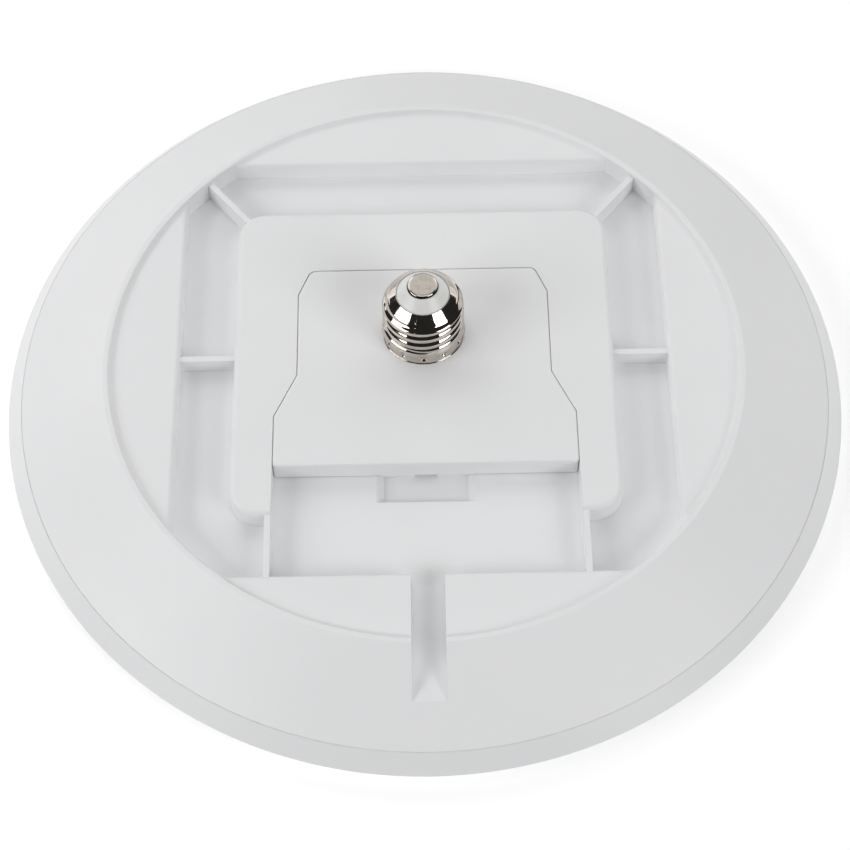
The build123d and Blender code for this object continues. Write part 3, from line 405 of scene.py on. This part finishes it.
def shell_points(columns=400):
    """Radius = profile + (crest - root) * wave * fade - dimples.

    The wave is (0.5 + 0.5 cos(phase)) to the power 0.8, whose phase turns once each
    pitch of height and once round the axis, right-handed, and is 0 at the near side's
    crest. A dimple is a dent in the skirt: depth * exp(-(distance / radius) cubed).
    The profile is a list of (radius, height) corners: a thin lip, the skirt, the neck
    that the thread stands on, the pressed shoulder, and back down inside.
    """
    outer = [(13.65, 0.0), (13.65, 0.25), (13.55, 0.34), (13.4, 0.36), (SKIRT, 0.5), (SKIRT, 4.4),
             (SKIRT - 0.2, 4.9), (ROOT, 5.6), (ROOT, 16.0), (12.05, 16.5), (11.75, 17.1), (11.3, 17.8),
             (10.7, 18.5), (8.6, 20.65), (8.45, 20.8)]
    inner_side = [(8.45, 20.25), (11.2, 17.2), (11.8, 16.0), (11.8, 0.0)]
    profile = softened(np.concatenate([along_profile(outer, 0.12, closed=False),
                                       along_profile(inner_side, 0.6, closed=False), [(12.8, 0.0)]]), 3)
    radius, height = profile[:, 0], profile[:, 1]
    outside = np.arange(len(height)) < height.argmax()
    angle = np.linspace(0, 2 * np.pi, columns, endpoint=False)[:, None]
    phase = 2 * np.pi * (height - NEAR_CREST) / PITCH - (angle + np.pi / 2)
    wave = (0.5 + 0.5 * np.cos(phase)) ** 0.8
    run = fade(height, 4.6, 6.2) * (1 - fade(height, 16.2, 18.2))
    lift = (CREST - ROOT) * wave * run * outside
    dimple_angle = (angle + np.pi / 2 + np.pi / DIMPLES) % (2 * np.pi / DIMPLES) - np.pi / DIMPLES
    gap = np.hypot(dimple_angle * SKIRT, (height - DIMPLE_HEIGHT) / DIMPLE_STRETCH)
    dent = DIMPLE_DEPTH * np.exp(-((gap / DIMPLE_RADIUS) ** 3)) * outside
    whole = radius + lift - dent
    height = np.broadcast_to(height, whole.shape)
    return np.stack([whole * np.cos(angle), axis_y + whole * np.sin(angle), plate_top + height], axis=-1)


threaded_shell = closed_skin("threaded_shell", shell_points(), "nickel_shell", "adapter", "screw_shell")


# %% [markdown]
# ## Insulator and tip contact
#
# The cone is moulded or pressed, so its edges are soft and it stands a hair below the
# shell's mouth. The tip is a washer flooded with solder: its top is slightly domed, its
# edge slopes, and its rim isn't a perfect circle. Both are turned profiles, given as
# (radius, height) corners, and the tip gets a slow ripple round it.


# %% Cone and tip
def turned_points(corners, step, rounds, ripple=0.0, columns=180):
    """A profile turned round the base's axis; ripple is how far the radius wanders, in millimetres."""
    profile = softened(along_profile(corners, step), rounds)
    angle = np.linspace(0, 2 * np.pi, columns, endpoint=False)[:, None]
    wander = ripple * (np.sin(2 * angle + 0.7) + 0.6 * np.sin(3 * angle + 2.1) + 0.4 * np.sin(5 * angle))
    radius = profile[:, 0] * (1 + wander / profile[:, 0].max())
    height = np.broadcast_to(profile[:, 1], radius.shape)
    return np.stack([radius * np.cos(angle), axis_y + radius * np.sin(angle), plate_top + height], axis=-1)


cone = [(1.15, 18.2), (8.4, 18.2), (8.4, 20.6), (8.25, 20.85), (5.4, 24.15), (5.15, 24.3), (1.15, 24.3)]
insulator_cone = closed_skin("insulator_cone", turned_points(cone, 0.15, 3), "insulator", "adapter",
                             "base_insulator")
tip = [(0.02, 17.4), (1.1, 17.4), (1.1, 24.32), (5.02, 24.32), (5.05, 24.36), (4.75, 24.97), (4.6, 25.12),
       (4.3, 25.23), (3.6, 25.28), (0.02, 25.3)]
tip_button = closed_skin("tip_button", turned_points(tip, 0.1, 2, ripple=0.04), "tinned_contact", "adapter",
                         "centre_contact")

# %% [markdown]
# ## Latch tongue
#
# The tongue that holds the light on the adapter bends out of the way when the light is
# slid off: its hooks ride up on the floor of the pocket. A rigid piece would cut through
# that floor. Here a copy of the solid's own mesh stands in for it and rides on the latch
# body; it does not bend.

# %% A copy of the tongue on the latch body
tongue_mesh = nodes["latch_tongue"].data.copy()
springy_tongue = bpy.data.objects.new("springy_tongue", tongue_mesh)
bpy.context.scene.collection.objects.link(springy_tongue)
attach(springy_tongue, "latch")
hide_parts("latch_tongue")
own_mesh(springy_tongue)
print("tongue:", len(springy_tongue.data.vertices), "points, slot", springy_tongue.data.materials[0].name)

# %% [markdown]
# ## Floor, light and camera
#
# The light lies on a white studio sweep. The photograph's near whites need light from all
# round: a soft box low on the left, a narrower one on the right, three behind, one
# overhead, and a small lamp for the spot on the base's shoulder. The nickel of the base
# mirrors them, and between them it mirrors the dark room, so the surround stays nearly
# black. The floor glows a little near the light and more further out, where no lamp
# reaches, so that it stays pale up to the horizon. The camera was solved from the circles
# and corners of the object, so it is placed by numbers: where it stands, where it looks,
# its roll and its focal length.

# %% Floor
floor_mesh = bpy.data.meshes.new("studio_floor")
reach = 15.0
NEAR_GLOW, FAR_GLOW = 0.33, 1.0
floor_mesh.from_pydata([(-reach, -reach, 0), (reach, -reach, 0), (reach, reach, 0), (-reach, reach, 0)], [],
                       [(0, 1, 2, 3)])
studio_floor = bpy.data.objects.new("studio_floor", floor_mesh)
bpy.context.scene.collection.objects.link(studio_floor)
pale = Finish("studio_white",
              {"Base Color": linear(238, 238, 238), "Roughness": 0.9, "Emission Strength": 1.0})
distance = pale.node("ShaderNodeVectorMath", {"operation": "LENGTH"}, {0: pale.place}, output=1)
glow = pale.mix(distance.steps(0.6, 1.6), (NEAR_GLOW,) * 3, (FAR_GLOW,) * 3)
pale.feed(pale.shader, "Emission Color", glow)
floor_mesh.materials.append(pale.material)
studio_floor.location.z = -0.0001
print("floor", 2 * reach, "m wide")

# %% Camera
CAMERA_AT = Vector((-0.00004, -0.38380, 0.60180))
LOOKS_AT = Vector((-0.00004, -0.02228, 0.01900))
ROLL = math.radians(-1.014)
FOCAL_PIXELS, FRAME_PIXELS = 2136.66, 850
camera_data = bpy.data.cameras.new("camera")
camera_data.sensor_width = 36.0
camera_data.lens = FOCAL_PIXELS * camera_data.sensor_width / FRAME_PIXELS
camera = bpy.data.objects.new("camera", camera_data)
bpy.context.scene.collection.objects.link(camera)
back = (CAMERA_AT - LOOKS_AT).normalized()
right = Vector((0, 0, 1)).cross(back).normalized()
up = back.cross(right)
rolled_right = right * math.cos(ROLL) + up * math.sin(ROLL)
rolled_up = back.cross(rolled_right)
turn = Matrix((rolled_right, rolled_up, back)).transposed()
camera.matrix_world = Matrix.Translation(CAMERA_AT) @ turn.to_4x4()
bpy.context.scene.camera = camera
print("lens", round(camera_data.lens, 2), "mm, distance", round((CAMERA_AT - LOOKS_AT).length, 4), "m")


# %% Lights
def soft_box(name, azimuth, elevation, width, height, watts, distance=1.6):
    """An oblong area light that faces the object, in a direction given in degrees.

    Azimuth 0 is +X and 270 is the camera's side. Sizes and distance are in metres.
    """
    data = bpy.data.lights.new(name, "AREA")
    data.shape = "RECTANGLE"
    data.size = width
    data.size_y = height
    data.energy = watts
    box = bpy.data.objects.new(name, data)
    bpy.context.scene.collection.objects.link(box)
    turned, raised = math.radians(azimuth), math.radians(elevation)
    flat = math.cos(raised)
    box.location = Vector((math.cos(turned) * flat, math.sin(turned) * flat, math.sin(raised))) * distance
    box.rotation_euler = box.location.to_track_quat("Z", "Y").to_euler()
    return box


soft_box("left_box", 205.5, 29, 1.14, 0.8, 10.9)
soft_box("right_box", 319.5, 29, 0.82, 0.8, 9.8)
soft_box("back_left_box", 135, 31, 1.45, 1.4, 7.5)
soft_box("back_box", 90, 44, 1.6, 1.2, 5.2)
soft_box("back_right_box", 45, 32, 1.4, 1.4, 4.6)
soft_box("top_box", 90, 89, 0.9, 0.9, 3.5)
soft_box("small_lamp", 247, 31, 0.07, 0.05, 0.07)
world = bpy.data.worlds.new("surround")
world.use_nodes = True
world.node_tree.nodes["Background"].inputs["Color"].default_value = (1.0, 1.0, 1.0, 1.0)
world.node_tree.nodes["Background"].inputs["Strength"].default_value = 0.025
bpy.context.scene.world = world
bpy.context.scene.view_settings.view_transform = "Standard"
